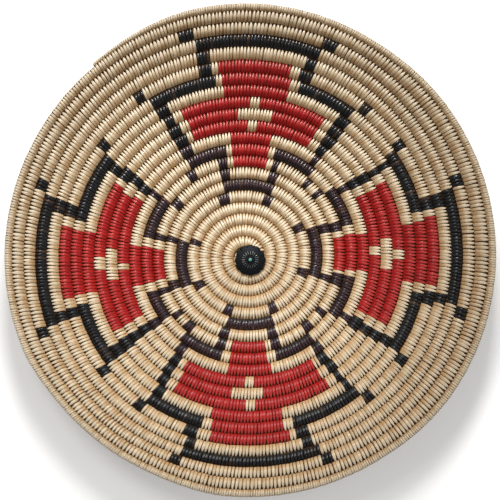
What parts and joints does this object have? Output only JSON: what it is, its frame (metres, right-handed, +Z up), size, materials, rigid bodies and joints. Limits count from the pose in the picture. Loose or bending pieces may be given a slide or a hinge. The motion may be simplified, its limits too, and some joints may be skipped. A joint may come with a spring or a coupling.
{
  "type": "coiled tray basket",
  "caption": "Shallow round coiled straw tray basket with four stepped-cross motifs in dyed stitching and a screw-back concho at its centre.",
  "frame": {"origin": "on the resting plane, under the middle of the basket's outline", "axes": "+Z up out of the tray's open face, +Y towards the motif that is at the top of the picture, +X towards the motif at its right"},
  "size_m": [0.3826, 0.3862, 0.0376],
  "materials": {
    "straw": "satin plant fibre, undyed",
    "red_fibre": "satin plant fibre, dyed red",
    "black_fibre": "satin plant fibre, dyed black",
    "aubergine_fibre": "satin plant fibre, dyed dark brown",
    "oxidised_silver": "blackened silver, worn bright on the stamped rays",
    "turquoise": "polished",
    "screw_steel": "plain"
  },
  "bodies": {
    "root": {"straw_coil": "straw", "red_cross_east": "red_fibre", "aubergine_band_east": "aubergine_fibre", "black_band_east": "black_fibre", "aubergine_bar_east_right": "aubergine_fibre", "aubergine_bar_east_left": "aubergine_fibre", "black_bar_east_right": "black_fibre", "black_bar_east_left": "black_fibre", "red_cross_north": "red_fibre", "aubergine_band_north": "aubergine_fibre", "black_band_north": "black_fibre", "aubergine_bar_north_right": "aubergine_fibre", "aubergine_bar_north_left": "aubergine_fibre", "black_bar_north_right": "black_fibre", "black_bar_north_left": "black_fibre", "red_cross_west": "red_fibre", "aubergine_band_west": "aubergine_fibre", "black_band_west": "black_fibre", "aubergine_bar_west_right": "aubergine_fibre", "aubergine_bar_west_left": "aubergine_fibre", "black_bar_west_right": "black_fibre", "black_bar_west_left": "black_fibre", "red_cross_south": "red_fibre", "aubergine_band_south": "aubergine_fibre", "black_band_south": "black_fibre", "aubergine_bar_south_right": "aubergine_fibre", "aubergine_bar_south_left": "aubergine_fibre", "black_bar_south_right": "black_fibre", "black_bar_south_left": "black_fibre", "concho": "oxidised_silver", "concho_bezel": "oxidised_silver", "turquoise_cabochon": "turquoise", "concho_post": "screw_steel", "back_screw": "screw_steel"}
  },
  "joints": []
}
